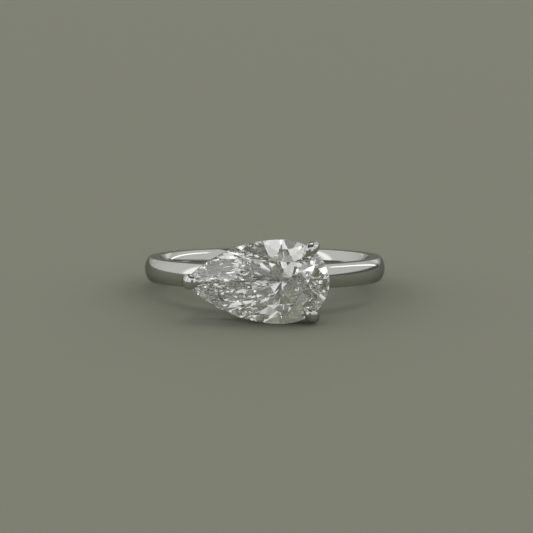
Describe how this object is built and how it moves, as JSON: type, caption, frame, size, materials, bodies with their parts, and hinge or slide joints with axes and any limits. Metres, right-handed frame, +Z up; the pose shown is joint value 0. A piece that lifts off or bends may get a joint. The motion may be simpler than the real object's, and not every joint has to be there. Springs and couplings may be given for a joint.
{
  "type": "pear solitaire engagement ring",
  "caption": "Polished white metal finger ring with a pear cut clear stone set across the finger in claws, lying on its side.",
  "frame": {"origin": "middle of the ring's bounding box, on the surface it lies on", "axes": "+Z up from the surface, +Y from the stone towards the back of the band, +X from the point of the stone towards its round end; the finger axis leans 6 degrees back from +Z"},
  "size_m": [0.0206, 0.0254, 0.007],
  "materials": {
    "white_gold": "polished rhodium-plated white gold",
    "diamond": "polished facets, clear"
  },
  "bodies": {
    "root": {"band_and_setting": "white_gold", "stone": "diamond"}
  },
  "joints": []
}
